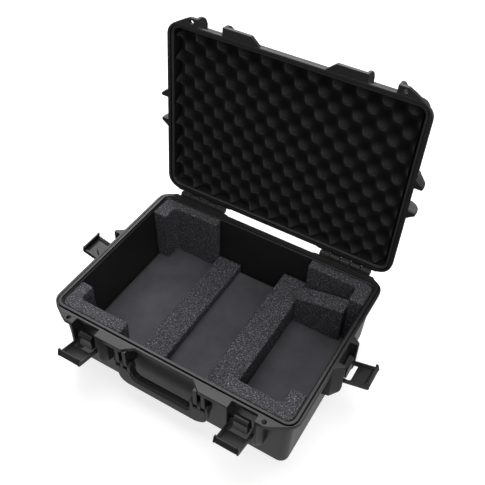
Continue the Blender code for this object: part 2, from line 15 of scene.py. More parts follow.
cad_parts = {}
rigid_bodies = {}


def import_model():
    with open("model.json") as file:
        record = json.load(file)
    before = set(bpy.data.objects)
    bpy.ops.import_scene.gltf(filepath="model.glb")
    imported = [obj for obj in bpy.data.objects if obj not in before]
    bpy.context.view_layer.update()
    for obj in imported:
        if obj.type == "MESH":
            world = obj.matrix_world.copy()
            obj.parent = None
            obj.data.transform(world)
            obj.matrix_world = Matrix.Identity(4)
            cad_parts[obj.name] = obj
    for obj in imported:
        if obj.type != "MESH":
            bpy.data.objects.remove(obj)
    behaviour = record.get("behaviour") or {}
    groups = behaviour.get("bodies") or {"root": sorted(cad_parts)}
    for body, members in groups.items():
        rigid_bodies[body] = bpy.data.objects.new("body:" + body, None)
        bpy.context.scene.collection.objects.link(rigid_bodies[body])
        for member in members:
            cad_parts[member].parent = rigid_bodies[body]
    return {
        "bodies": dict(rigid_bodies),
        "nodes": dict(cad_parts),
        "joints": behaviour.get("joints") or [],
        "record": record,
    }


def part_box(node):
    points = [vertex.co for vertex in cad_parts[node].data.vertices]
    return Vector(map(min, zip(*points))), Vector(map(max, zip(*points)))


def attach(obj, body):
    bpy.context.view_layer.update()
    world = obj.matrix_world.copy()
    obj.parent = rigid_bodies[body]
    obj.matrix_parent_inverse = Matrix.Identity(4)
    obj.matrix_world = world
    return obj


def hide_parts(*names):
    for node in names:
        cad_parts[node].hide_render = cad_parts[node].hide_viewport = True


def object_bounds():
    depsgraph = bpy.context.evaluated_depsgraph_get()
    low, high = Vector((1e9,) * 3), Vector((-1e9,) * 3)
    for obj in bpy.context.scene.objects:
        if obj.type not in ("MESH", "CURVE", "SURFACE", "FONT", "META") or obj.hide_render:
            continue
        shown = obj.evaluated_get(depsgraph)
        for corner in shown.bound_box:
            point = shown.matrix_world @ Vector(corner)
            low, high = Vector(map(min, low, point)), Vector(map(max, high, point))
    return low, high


MM = 0.001

# Camera, in metres
CAMERA_AT = (0.43978, -0.71123, 1.12763)
CAMERA_RIGHT = (0.85990, 0.50985, 0.02499)
CAMERA_UP = (-0.37769, 0.60254, 0.70306)
CAMERA_AHEAD = (-0.34340, 0.61400, -0.71069)
LENS = 51.885

# Rim plates of base and lid
HALF_W = 250.0
FRONT_EDGE = 183.3
PLATE_FRONT = 198.5
RIM_Z = 150.0
FLANGE_T = 8.0
LATCH_X = 160.0
NOTCH_HALF = 24.5
SIDE_TAB = 14.8
SIDE_TAB_ROOT = 41.0
LOCK_HOLE = (198.5, 189.5, 3.9)
LID_GAP = 0.4
CATCH_TOP = 155.2
CATCH_DEPTH = 5.7
RIM_EASE = 2.0
CHEEK_GAP = 0.2
CHEEK_T = 5.5
CHEEK_ROOT = 35.0
CHEEK_SINK = 1.7

# Rounded openings and rings of the rims: half width, half depth, corner radius
BASE_MOUTH = (244.9, 178.4, 20.4)
LID_RING = (249.6, 182.9, 28.0)
LID_CHANNEL = (243.3, 177.0, 18.3)
LID_MOUTH = (238.0, 172.0, 18.0)
SEAL = (242.1, 175.8, 18.2)

# Tub and lid walls
WALL_BOTTOM = (232.7, 166.8)
WALL_TOP = (239.0, 172.5)
LID_WALL = (239.2, 173.0)
LID_TOP = 200.0
LID_EDGE = 18.0
BASE_EDGE = 12.0
WALL_T = 2.5
INSIDE_FOOT_Z = 9.0
INSIDE_TOP = (235.4, 168.9)
RIB_TOP = 146.0

# Hinge, latches, handle
LID_OPEN_DEG = 94.0
HINGE = (192.2, 150.0)
KNUCKLE_X = (108.5, 129.8, 151.1, 172.4, 193.7, 215.0)
KNUCKLE_R = 6.0
KNUCKLE_GAP = 0.2
KNUCKLE_ROOT = 184.0
LATCH_PIN_OUT = 4.2
LATCH_PIN_Z = 103.0
LEVER_TILT_DEG = 15.0
LEVER_HALF = 23.5
LEVER_LENGTH = 57.5
HOOK_T = 4.7
HOOK_REACH = 9.0
TRIGGER_HALF = 14.0
HANDLE_PIVOT = (-190.5, 107.0)
HANDLE_RIBS = ((68.7, 76.7), (84.2, 92.2))
HANDLE_LUGS = ((62.0, 68.2), (77.2, 83.6), (92.7, 97.4))
HANDLE_RIB_R = 7.5
HANDLE_LUG_R = 8.2
HANDLE_LUG_LOW = 94.0

# Foam
FLOOR_TOP = 27.5
FOAM_TOP = 146.5
BLOCK_IN = 104.0
BLOCK_CORNER = 13.0
WEDGE_DROP = 20.5
EGG_HALF = (231.6, 166.2)
EGG_PITCH = (22.4, 23.06)
EGG_PEAK_AT = (-210.0, -135.0)
EGG_PEAK = 151.6
EGG_VALLEY = 171.5
EGG_BACK = 195.4
EGG_BACK_SHRINK = (0.97, 0.958)
EGG_CORNER = 14.0
EGG_GRID = (168, 120)

# Stage, in metres; the glows are emission strengths
FLOOR_REACH = 12.0
FLOOR_GLOW = 0.72
CARD_X = (-0.34, 0.42)
CARD_Y = (-0.335, 0.34)
CARD_LIFT = 0.0004
CARD_GLOW = 0.68
BACKDROP_RADIUS = 11.8
BACKDROP_HEIGHT = 14.0
BACKDROP_MIDDLE = 2.0
BACKDROP_GLOW = 0.72
WORLD_GLOW = 0.03
# Name, place, target, size and watts
SOFTBOXES = (
    ("top_softbox", (-0.05, 0.25, 2.4), (0.0, 0.05, 0.15), (2.0, 1.8), 45.0),
    ("rear_softbox", (-1.05, 1.9, 2.4), (0.0, 0.0, 0.15), (2.2, 1.6), 92.0),
    ("right_softbox", (1.9, -0.5, 1.3), (0.0, 0.1, 0.3), (1.0, 1.0), 8.0),
    ("front_softbox", (0.9, -2.2, 1.9), (0.0, 0.0, 0.25), (1.2, 1.0), 18.0),
)


def arc(centre, radius, start_deg, end_deg, steps):
    points = []
    for step in range(steps + 1):
        angle = math.radians(start_deg + (end_deg - start_deg) * step / steps)
        points.append((centre[0] + radius * math.cos(angle), centre[1] + radius * math.sin(angle)))
    return points


def rounded_rect(half_x, half_y, radius):
    points = []
    for index, (sx, sy) in enumerate(((1, 1), (-1, 1), (-1, -1), (1, -1))):
        centre = (sx * (half_x - radius), sy * (half_y - radius))
        points += arc(centre, radius, 90 * index, 90 * index + 90, 12)
    return points


def eased(outline, radius, steps=3):
    """The same closed outline with its corners of 18 degrees or more rounded."""
    made = []
    count = len(outline)
    for index in range(count):
        here = Vector(outline[index])
        back = Vector(outline[index - 1]) - here
        ahead = Vector(outline[(index + 1) % count]) - here
        if 180.0 - math.degrees(back.angle(ahead)) < 18.0:
            made.append(tuple(here))
            continue
        reach = min(radius, 0.42 * back.length, 0.42 * ahead.length)
        first = here + back.normalized() * reach
        last = here + ahead.normalized() * reach
        for step in range(steps + 1):
            t = step / steps
            made.append(tuple(first.lerp(here, t).lerp(here.lerp(last, t), t)))
    return made


def solid(shape, outline, axis, low, high, bevel=0.7, holes=(), segments=2):
    """Adds a flat outline extruded along axis, with rounded long edges and open holes."""
    data = bpy.data.curves.new("profile", "CURVE")
    data.dimensions = "2D"
    data.fill_mode = "BOTH"
    data.extrude = (high - low) / 2 - bevel
    data.bevel_depth = bevel
    data.bevel_resolution = segments - 1
    data.offset = -bevel
    for loop in (outline, *holes):
        spline = data.splines.new("POLY")
        spline.points.add(len(loop) - 1)
        for point, (a, b) in zip(spline.points, loop):
            point.co = (a, b, 0.0, 1.0)
        spline.use_cyclic_u = True
    profile = bpy.data.objects.new("profile", data)
    bpy.context.scene.collection.objects.link(profile)
    graph = bpy.context.evaluated_depsgraph_get()
    mesh = bpy.data.meshes.new_from_object(profile.evaluated_get(graph))
    bpy.data.objects.remove(profile)
    bpy.data.curves.remove(data)
    part = bmesh.new()
    part.from_mesh(mesh)
    bpy.data.meshes.remove(mesh)
    middle = (low + high) / 2
    for vert in part.verts:
        a, b, along = vert.co
        values = [a, b]
        values.insert(axis, along + middle)
        vert.co = values
    absorb(shape, part)


def absorb(shape, part):
    """Cleans a finished component and adds it to shape."""
    bmesh.ops.remove_doubles(part, verts=part.verts, dist=0.002)
    bmesh.ops.recalc_face_normals(part, faces=part.faces)
    mesh = bpy.data.meshes.new("part")
    part.to_mesh(mesh)
    part.free()
    shape.from_mesh(mesh)
    bpy.data.meshes.remove(mesh)


def bridged(rows):
    """A closed component through rows of equally many points, with both ends filled."""
    part = bmesh.new()
    rows = [[part.verts.new(point) for point in row] for row in rows]
    for low, high in zip(rows, rows[1:]):
        for index in range(len(low)):
            after = (index + 1) % len(low)
            part.faces.new((low[index], low[after], high[after], high[index]))
    part.faces.new(list(reversed(rows[0])))
    part.faces.new(rows[-1])
    return part


def loft(shape, rings):
    """Adds a skin through rings of equal count, [(points, z), ...]."""
    absorb(shape, bridged([[(x, y, z) for x, y in points] for points, z in rings]))


def both_sides(shape, outline, axis, low, high, bevel):
    """Adds one solid and its mirror image across the middle."""
    solid(shape, outline, axis, low, high, bevel)
    solid(shape, outline, axis, -high, -low, bevel)


def make(name, shape, body, stands_for, material, matrix=None, sharp_deg=48.0):
    """Turns a shape in millimetres into a named piece that rides on a body."""
    if matrix is not None:
        bmesh.ops.transform(shape, matrix=matrix, verts=shape.verts)
    bmesh.ops.scale(shape, vec=(MM, MM, MM), verts=shape.verts)
    mesh = bpy.data.meshes.new(name)
    shape.to_mesh(mesh)
    shape.free()
    mesh.shade_smooth()
    mesh.set_sharp_from_angle(angle=math.radians(sharp_deg))
    mesh.materials.append(material)
    piece = bpy.data.objects.new(name, mesh)
    bpy.context.scene.collection.objects.link(piece)
    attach(piece, body)
    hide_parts(*stands_for)
    return piece


def even_normals(piece):
    step = piece.modifiers.new("even_normals", "WEIGHTED_NORMAL")
    step.mode = "FACE_AREA"
    step.keep_sharp = True
    step.weight = 80
    return piece


# Materials


def new_material(name, roughness, metallic=0.0):
    made = bpy.data.materials.new(f"{name}_look")
    made["slot"] = name
    made.use_nodes = True
    shader = made.node_tree.nodes["Principled BSDF"]
    shader.inputs["Roughness"].default_value = roughness
    shader.inputs["Metallic"].default_value = metallic
    return made, shader


def add_node(material, kind, **values):
    node = material.node_tree.nodes.new(kind)
    for name, value in values.items():
        if name in node.inputs:
            node.inputs[name].default_value = value
        else:
            setattr(node, name, value)
    return node


def link(material, start, end):
    material.node_tree.links.new(start, end)


def place_noise(material, scale, detail=2.0, roughness=0.5):
    """Noise fixed to the piece, with scale in cycles per metre."""
    where = add_node(material, "ShaderNodeTexCoord")
    made = add_node(material, "ShaderNodeTexNoise", Scale=scale, Detail=detail, Roughness=roughness)
    link(material, where.outputs["Object"], made.inputs["Vector"])
    return made.outputs["Fac"]


def cells(material, scale):
    """Cell distance fixed to the piece, with scale in cells per metre."""
    where = add_node(material, "ShaderNodeTexCoord")
    made = add_node(material, "ShaderNodeTexVoronoi", Scale=scale)
    link(material, where.outputs["Object"], made.inputs["Vector"])
    return made.outputs["Distance"]


def ramp(material, fac, stops):
    made = add_node(material, "ShaderNodeValToRGB")
    line = made.color_ramp
    while len(line.elements) < len(stops):
        line.elements.new(0.5)
    for element, (place, colour) in zip(line.elements, stops):
        element.position = place
        element.color = (*colour, 1.0)
    link(material, fac, made.inputs["Fac"])
    return made.outputs["Color"]


def remap(material, fac, low, high):
    """Spreads the middle of a noise, 0.3 to 0.7, over low to high."""
    made = add_node(material, "ShaderNodeMapRange")
    made.inputs["From Min"].default_value = 0.3
    made.inputs["From Max"].default_value = 0.7
    made.inputs["To Min"].default_value = low
    made.inputs["To Max"].default_value = high
    link(material, fac, made.inputs["Value"])
    return made.outputs["Result"]


def mix(material, first, second):
    """The product of two colours."""
    made = add_node(material, "ShaderNodeMix", data_type="RGBA", blend_type="MULTIPLY")
    made.inputs["Factor"].default_value = 1.0
    link(material, first, made.inputs[6])
    link(material, second, made.inputs[7])
    return made.outputs[2]


def total(material, first, second, weight):
    """first plus second times weight."""
    made = add_node(material, "ShaderNodeMath", operation="MULTIPLY_ADD")
    link(material, second, made.inputs[0])
    made.inputs[1].default_value = weight
    link(material, first, made.inputs[2])
    return made.outputs[0]


def bump(material, shader, height, depth_mm, strength):
    made = add_node(material, "ShaderNodeBump")
    made.inputs["Strength"].default_value = strength
    made.inputs["Distance"].default_value = depth_mm * MM
    link(material, height, made.inputs["Height"])
    link(material, made.outputs["Normal"], shader.inputs["Normal"])


def grey(value, blue=1.04):
    return (value, value, value * blue)


def violet(value):
    return (value * 1.02, value * 0.985, value * 1.12)


def plastic_material():
    """Satin black moulded plastic: fine spark texture, slight cloudiness in its gloss."""
    made, shader = new_material("shell_plastic", 0.46)
    cloud = place_noise(made, 14.0, 3.0)
    link(made, ramp(made, cloud, ((0.3, grey(0.0085)), (0.72, grey(0.0115)))), shader.inputs["Base Color"])
    grain = place_noise(made, 1500.0, 3.0, 0.65)
    gloss = total(made, remap(made, cloud, 0.36, 0.42), grain, 0.05)
    link(made, gloss, shader.inputs["Roughness"])
    bump(made, shader, grain, 0.05, 0.55)
    shader.inputs["Specular IOR Level"].default_value = 0.32
    return made


def rubber_material():
    made, shader = new_material("seal_rubber", 0.78)
    dust = place_noise(made, 60.0, 4.0)
    link(made, ramp(made, dust, ((0.35, grey(0.010)), (0.75, grey(0.020)))), shader.inputs["Base Color"])
    bump(made, shader, place_noise(made, 900.0, 2.0), 0.06, 0.5)
    return made


def steel_material():
    made, shader = new_material("pin_steel", 0.32, 1.0)
    drawn = place_noise(made, 420.0, 5.0)
    link(made, ramp(made, drawn, ((0.3, grey(0.12)), (0.7, grey(0.20)))), shader.inputs["Base Color"])
    link(made, remap(made, drawn, 0.26, 0.42), shader.inputs["Roughness"])
    bump(made, shader, drawn, 0.02, 0.4)
    return made


def egg_material():
    """Black open-cell foam, with painted shade darkening it towards the bottom of its hollows and painted
    light brightening its peaks, both set by the mesh's rise attribute.
    """
    made, shader = new_material("egg_foam", 0.97)
    pores = cells(made, 900.0)
    cloud = place_noise(made, 45.0, 3.0)
    colour = ramp(made, pores, ((0.12, grey(0.006)), (0.75, grey(0.026))))
    tone = ramp(made, cloud, ((0.3, grey(0.8, 1.0)), (0.7, grey(1.0, 1.0))))
    rise = add_node(made, "ShaderNodeAttribute", attribute_name="rise")
    # painted shade and painted light: the colour is multiplied by 0.05 at the bottom of the hollows, rising
    # to 1.55 on the peaks
    depth = ((0.02, 0.05), (0.16, 0.20), (0.45, 0.7), (0.92, 1.55))
    painted_shade_and_light = ramp(made, rise.outputs["Fac"], [(place, grey(value, 1.0)) for place, value in depth])
    link(made, mix(made, mix(made, colour, tone), painted_shade_and_light), shader.inputs["Base Color"])
    shader.inputs["Specular IOR Level"].default_value = 0.12
    shader.inputs["Sheen Weight"].default_value = 0.12
    shader.inputs["Sheen Roughness"].default_value = 0.55
    bump(made, shader, pores, 0.5, 0.55)
    return made


def plank_material():
    """Cut closed-cell foam: dark cells with pale torn rims, and scattered bright flecks that are painted
    highlights standing for glints off the cells.
    """
    made, shader = new_material("plank_foam", 0.85)
    rims = cells(made, 330.0)
    glint_and_bump_noise = place_noise(made, 430.0, 3.0, 0.7)
    body = ramp(made, rims, ((0.10, violet(0.020)), (0.50, violet(0.050)), (0.80, violet(0.095))))
    # painted highlights: bright flecks in the colour stand in for glints off the foam's cells; the same
    # noise also bumps the surface
    painted_glints = ramp(made, glint_and_bump_noise, ((0.36, grey(0.30, 1.0)), (0.54, grey(0.8, 1.0)), (0.68, grey(3.4, 1.0))))
    link(made, mix(made, body, painted_glints), shader.inputs["Base Color"])
    shader.inputs["Specular IOR Level"].default_value = 0.3
    bump(made, shader, total(made, rims, glint_and_bump_noise, 1.2), 0.8, 0.8)
    return made


def sheet_material():
    """Smooth foam sheet with faint clouds and a fine skin."""
    made, shader = new_material("floor_sheet", 0.86)
    cloud = place_noise(made, 16.0, 4.0, 0.6)
    grain = place_noise(made, 700.0, 3.0, 0.7)
    colour = ramp(made, cloud, ((0.28, violet(0.050)), (0.72, violet(0.078))))
    tone = ramp(made, grain, ((0.25, grey(0.75, 1.0)), (0.7, grey(1.0, 1.0))))
    link(made, mix(made, colour, tone), shader.inputs["Base Color"])
    shader.inputs["Specular IOR Level"].default_value = 0.25
    bump(made, shader, grain, 0.15, 0.5)
    return made


# Shells


def flange_outline(notch=0.0):
    """Rim plate seen from above. notch deepens the four latch notches."""
    front = -FRONT_EDGE + notch
    side = HALF_W - notch
    right = [
        (61.0, -FRONT_EDGE), (79.0, -PLATE_FRONT), (LATCH_X - NOTCH_HALF, -PLATE_FRONT),
        (LATCH_X - NOTCH_HALF, front), (LATCH_X + NOTCH_HALF, front),
        (LATCH_X + NOTCH_HALF, 1.0 - PLATE_FRONT), (202.0, 1.0 - PLATE_FRONT), (214.0, -191.5),
        (236.0, -178.5), (245.0, -170.0), (249.0, -162.5), (HALF_W, -155.0),
        (HALF_W, -SIDE_TAB_ROOT), (HALF_W + 7.0, -35.5), (HALF_W + SIDE_TAB, -30.5),
        (HALF_W + SIDE_TAB, -NOTCH_HALF), (side, -NOTCH_HALF), (side, NOTCH_HALF),
        (HALF_W + SIDE_TAB, NOTCH_HALF), (HALF_W + SIDE_TAB, 30.5), (HALF_W + 7.0, 35.5),
        (HALF_W, SIDE_TAB_ROOT), (HALF_W, 155.0), (248.5, 163.5), (244.0, 171.0), (236.0, 177.0),
        (228.0, 181.0), (224.0, 185.7), (101.0, 185.7), (97.0, FRONT_EDGE),
    ]
    return eased(right + [(-x, y) for x, y in reversed(right)], RIM_EASE)


def lock_holes():
    x, y, radius = LOCK_HOLE
    return [arc((sign * x, -y), radius, 0, 345, 23) for sign in (-1, 1)]


def wedge(shape, profile, place_point, root):
    """A latch cheek: full profile over its thickness, then running out to nothing at its root."""
    near = NOTCH_HALF + CHEEK_GAP
    flat = [(min(out, -1.0), z) for out, z in profile]
    part = bridged([[place_point(out, across, z) for out, z in points]
                    for across, points in ((near, profile), (near + CHEEK_T, profile), (root, flat))])
    bmesh.ops.recalc_face_normals(part, faces=part.faces)
    edges = [e for e in part.edges if e.calc_face_angle(0.0) > math.radians(16)]
    bmesh.ops.bevel(part, geom=edges, offset=0.9, offset_type="OFFSET", segments=2, profile=0.5,
                    affect="EDGES", clamp_overlap=True)
    absorb(shape, part)


def latch_cheeks(shape, profile):
    for sign in (-1, 1):
        for x in (-LATCH_X, LATCH_X):
            wedge(shape, profile(False), lambda out, v, z: (x + sign * v, -FRONT_EDGE - out, z),
                  CHEEK_ROOT)
        for way in (-1, 1):
            wedge(shape, profile(True), lambda out, v, z: (way * (HALF_W + out), sign * v, z),
                  SIDE_TAB_ROOT - 0.6)


def wall_at(z):
    share = z / (RIM_Z - FLANGE_T)
    return [low + (high - low) * share for low, high in zip(WALL_BOTTOM, WALL_TOP)]


def base_cheek(side):
    edge, which = (HALF_W, 0) if side else (FRONT_EDGE, 1)
    low = 60.0
    top = wall_at(RIB_TOP)[which] - edge - CHEEK_SINK
    foot = wall_at(low)[which] - edge - CHEEK_SINK
    return [(top, RIB_TOP), (15.0, RIB_TOP), (15.0, 88.0), (14.0, 80.0), (11.5, 74.0), (5.0, 65.0),
            (foot, low)]


def knuckle(above):
    sign = 1 if above else -1
    y, z = HINGE
    points = [(KNUCKLE_ROOT, z + sign * KNUCKLE_R), (y, z + sign * KNUCKLE_R)]
    points += arc((y, z), KNUCKLE_R, sign * 75, -sign * 175, 20)
    return points + [(185.9, z + sign * 0.45), (KNUCKLE_ROOT, z + sign * 0.5)]


def knuckles(shape, above):
    for index in (1, 3) if above else (0, 2, 4):
        low = KNUCKLE_X[index] + KNUCKLE_GAP
        high = KNUCKLE_X[index + 1] - KNUCKLE_GAP
        both_sides(shape, knuckle(above), 0, low, high, 1.5)


def base_rings():
    """The tub from the middle of its underside, out, up, over the tongue and down inside."""
    low = WALL_BOTTOM
    rings = []
    for degrees in (90, 75, 60, 45, 30, 15, 0):
        inset = BASE_EDGE * (1 - math.cos(math.radians(degrees)))
        lift = BASE_EDGE * (1 - math.sin(math.radians(degrees)))
        wall = wall_at(lift)
        rings.append((wall[0] - inset, wall[1] - inset, 16.0 - 0.75 * inset, lift))
    rings += [
        (*wall_at(60.0), 16.0, 60.0),
        (*wall_at(142.4), 16.0, 142.4),
        (246.5, 180.0, 21.0, 142.6),
        (246.5, 180.0, 21.0, 144.6),
        (243.1, 176.6, 18.6, 144.6),
        (243.1, 176.6, 18.6, 150.9),
        (242.9, 176.4, 18.4, 151.3),
        (242.5, 176.0, 18.0, 151.5),
        (238.6, 172.1, 14.7, 151.5),
        (238.1, 171.6, 14.3, 151.3),
        (237.9, 171.4, 14.1, 150.8),
        (237.6, 171.1, 14.0, 147.6),
        (*INSIDE_TOP, 12.5, RIB_TOP),
        (low[0] - WALL_T, low[1] - WALL_T, 12.5, INSIDE_FOOT_Z),
        (low[0] - 6.5, low[1] - 6.5, 9.0, 4.0),
    ]
    return [(rounded_rect(x, y, radius), z) for x, y, radius, z in rings]


def handle_ribs(shape):
    y, z = HANDLE_PIVOT
    outline = [(-170.8, RIB_TOP), (-198.2, RIB_TOP), (-198.2, z)]
    outline += arc((y, z), HANDLE_RIB_R, 195, 270, 8) + [(-169.3, z - 5.5)]
    for low, high in HANDLE_RIBS:
        both_sides(shape, outline, 0, low, high, 0.9)


def build_base():
    shape = bmesh.new()
    holes = [rounded_rect(*BASE_MOUTH), *lock_holes()]
    solid(shape, flange_outline(), 2, RIM_Z - FLANGE_T, RIM_Z, 1.0, holes, 3)
    loft(shape, base_rings())
    latch_cheeks(shape, base_cheek)
    handle_ribs(shape)
    knuckles(shape, above=False)
    even_normals(make("base_moulding", shape, "base", ["base_shell"], PLASTIC))


def lid_rings():
    """The lid, drawn closed, from the middle of its top out, down and up inside."""
    top = (LID_WALL[0] - 3.0, LID_WALL[1] - 3.0)
    rings = []
    for degrees in range(90, -1, -10):
        inset = LID_EDGE * (1 - math.cos(math.radians(degrees)))
        drop = LID_EDGE * (1 - math.sin(math.radians(degrees)))
        rings.append((top[0] - inset, top[1] - inset, 19.0 - inset, LID_TOP - drop))
    rings += [
        (*LID_WALL, 19.0, 154.6),
        (238.6, 172.4, 18.4, 154.8),
        (236.4, 170.4, 16.4, 166.0),
        (232.6, 167.2, 15.0, 188.0),
        (225.0, 159.5, 9.0, 196.0),
    ]
    return [(rounded_rect(x, y, radius), z) for x, y, radius, z in rings]


def lid_cheek(side):
    edge, which = (HALF_W, 0) if side else (FRONT_EDGE, 1)
    root = LID_WALL[which] - edge - 1.6
    return [(root - 2.3, 184.5), (root, 155.4), (-4.5, 155.4), (-4.5, 153.0), (14.7, 153.0), (14.8, 162.5),
            (13.4, 169.5), (9.8, 175.5), (4.5, 180.5), (-4.0, 184.5)]


def build_lid():
    """Rim ring and plates, then the lid's wall, guards and knuckles."""
    shape = bmesh.new()
    low = RIM_Z + LID_GAP
    channel = rounded_rect(*LID_CHANNEL)
    solid(shape, rounded_rect(*LID_RING), 2, low, CATCH_TOP, 0.5, [channel], 3)
    solid(shape, flange_outline(), 2, low + 0.9, CATCH_TOP, 0.7, [channel, *lock_holes()], 2)
    solid(shape, flange_outline(CATCH_DEPTH), 2, 154.5, low + FLANGE_T, 1.1,
          [rounded_rect(*LID_MOUTH), *lock_holes()], 3)
    loft(shape, lid_rings())
    latch_cheeks(shape, lid_cheek)
    knuckles(shape, above=True)
    even_normals(make("lid_moulding", shape, "lid", ["lid_shell"], PLASTIC, LID_PLACE))


def build_gasket():
    """Seal with a rounded bead, lying in the lid's channel."""
    shape = bmesh.new()
    rows = []
    for inset, z in ((0.0, 154.4), (0.0, 152.9), (0.3, 152.2), (0.9, 151.7), (1.6, 151.55), (2.3, 151.7),
                     (2.9, 152.2), (3.3, 153.2), (4.6, 153.8), (4.8, 154.4)):
        outline = rounded_rect(SEAL[0] - inset, SEAL[1] - inset, SEAL[2] - 0.9 * inset)
        rows.append([shape.verts.new((x, y, z)) for x, y in outline])
    for row, after in zip(rows, rows[1:] + rows[:1]):
        for index in range(len(row)):
            far = (index + 1) % len(row)
            shape.faces.new((row[index], row[far], after[far], after[index]))
    bmesh.ops.recalc_face_normals(shape, faces=shape.faces)
    make("lid_seal", shape, "lid", ["lid_gasket"], RUBBER, LID_PLACE)


# Latches and handle


def latch_places():
    """Name and frame of each latch: local X runs outwards, Y up, Z across, origin on its pin."""
    front = -(FRONT_EDGE + LATCH_PIN_OUT)
    side = HALF_W + LATCH_PIN_OUT
    painted_glints = (
        ("front_left", (-LATCH_X, front), (0, -1, 0)),
        ("front_right", (LATCH_X, front), (0, -1, 0)),
        ("left", (-side, 0.0), (-1, 0, 0)),
        ("right", (side, 0.0), (1, 0, 0)),
    )
    for name, (x, y), outward in painted_glints:
        out = Vector(outward)
        up = Vector((0, 0, 1))
        frame = Matrix((out, up, out.cross(up))).transposed().to_4x4()
        yield name, Matrix.Translation((x, y, LATCH_PIN_Z)) @ frame


def lever_shape():
    """Two arms round the pin, inner ledges with a slot, a sunk panel and the hook along the end."""
    shape = bmesh.new()
    end = LEVER_LENGTH
    arm = [(0.5, -8.0), (end - 5.0, -8.0), (end - 1.5, -6.8), (end, -4.0), (end, HOOK_REACH - 1.5),
           (end - 1.2, HOOK_REACH), (end - HOOK_T, HOOK_REACH), (end - HOOK_T, 0.8), (8.0, 0.8)]
    arm += arc((0, 0), 5.6, 30, 230, 16)
    both_sides(shape, arm, 2, LEVER_HALF - 3.0, LEVER_HALF, 0.5)
    ear = [(1.0, -7.9), (13.0, -7.9), (13.0, -0.7), (8.0, -0.2)] + arc((0, 0), 5.4, 30, 230, 12)
    both_sides(shape, eased(ear, 0.8), 2, LEVER_HALF - 5.2, LEVER_HALF - 2.6, 0.4)
    ledge = [(19.5, -7.8), (end - 4.0, -7.8), (end - 4.0, -0.9), (19.5, -0.9)]
    both_sides(shape, eased(ledge, 0.8), 2, LEVER_HALF - 5.2, LEVER_HALF - 2.6, 0.4)
    both_sides(shape, [(11.0, -7.8), (21.0, -7.8), (21.0, -3.4), (11.0, -3.4)], 2, LEVER_HALF - 5.0,
               LEVER_HALF - 2.6, 0.3)
    web = [(20.2, -7.6), (end - 5.0, -7.6), (end - 1.8, -6.4), (end - 0.3, -3.8)]
    web += arc((end - 2.5, HOOK_REACH - 2.7), 2.2, 0, 180, 10)
    web += [(end - HOOK_T, 1.5), (end - HOOK_T - 2.2, -1.8), (end - HOOK_T - 6.0, -3.5), (20.2, -3.5)]
    inner = LEVER_HALF - 4.2
    solid(shape, eased(web, 2.2, 5), 2, -inner, inner, 0.5)
    return shape


def trigger_shape():
    """Release piece with a rounded crest, standing between the lever's arms."""
    shape = bmesh.new()
    points = arc((4.5, 20.5), 7.0, 170, -8, 22)
    points += [(11.0, 15.5), (10.5, 10.5), (10.4, 5.5), (10.8, 0.8), (11.5, -3.0), (4.0, -5.2)]
    points += arc((0, 0), 5.5, 270, 180, 10)
    solid(shape, points, 2, -TRIGGER_HALF, TRIGGER_HALF, 1.0, (), 3)
    return shape


def build_latches():
    tilt = Matrix.Rotation(math.radians(LEVER_TILT_DEG), 4, "Z")
    for name, spot in latch_places():
        even_normals(make(f"lever_{name}_moulding", lever_shape(), f"lever_{name}", [f"latch_lever_{name}"],
                          PLASTIC, spot @ tilt))
        even_normals(make(f"trigger_{name}_moulding", trigger_shape(), f"trigger_{name}",
                          [f"latch_trigger_{name}"], PLASTIC, spot))


def build_handle():
    """Grip and arms as one band, a narrower band standing proud on both faces, three lugs each side."""
    y, z = HANDLE_PIVOT
    right = [(74.0, 50.0), (86.0, 56.0), (92.5, 64.0), (97.4, 98.0), (62.0, 98.0), (58.5, 82.0),
             (53.0, 77.0)]
    band = [(73.2, 53.4), (84.2, 58.8), (89.4, 66.0), (94.0, 98.0), (65.4, 98.0), (61.6, 80.4),
            (54.6, 73.6)]
    shape = bmesh.new()
    for side, reach, bevel in ((right, 6.4, 2.2), (band, 8.5, 1.9)):
        outline = eased(side + [(-a, b) for a, b in reversed(side)], 7.0, 6)
        solid(shape, outline, 1, y - reach, y + reach, bevel, (), 4)
    lug = [(y + HANDLE_LUG_R, HANDLE_LUG_LOW), (y + HANDLE_LUG_R, z)]
    lug += arc((y, z), HANDLE_LUG_R, 10, 170, 16)
    lug += [(y - HANDLE_LUG_R, z), (y - HANDLE_LUG_R, HANDLE_LUG_LOW)]
    for low, high in HANDLE_LUGS:
        both_sides(shape, lug, 0, low, high, 0.6)
    even_normals(make("handle_moulding", shape, "handle", ["handle"], PLASTIC))


# Foam


def wander(piece, amount_mm, size_mm, seed):
    """Lets a cut foam face wander a little, fixed by its place."""
    shift = Vector((seed * 3.1, seed * 1.7, seed * 2.3))
    scale = 1.0 / (size_mm * MM)
    mesh = piece.data
    moved = []
    for vert, normal in zip(mesh.vertices, [Vector(entry.vector) for entry in mesh.vertex_normals]):
        reach = amount_mm * MM * noise.noise(vert.co * scale + shift)
        moved.extend(vert.co + normal * reach)
    mesh.vertices.foreach_set("co", moved)
    mesh.update()


def soften(piece, voxel_mm):
    """Gives a block an even skin of small faces and takes the edge off its corners."""
    skin = piece.modifiers.new("skin", "REMESH")
    skin.mode = "VOXEL"
    skin.voxel_size = voxel_mm * MM
    skin.use_smooth_shade = True
    ease = piece.modifiers.new("ease", "SMOOTH")
    ease.factor = 0.5
    ease.iterations = 1
    graph = bpy.context.evaluated_depsgraph_get()
    mesh = bpy.data.meshes.new_from_object(piece.evaluated_get(graph))
    old = piece.data
    mesh.materials.clear()
    mesh.materials.append(old.materials[0])
    piece.modifiers.clear()
    piece.data = mesh
    bpy.data.meshes.remove(old)
    mesh.name = piece.name
    mesh.shade_smooth()


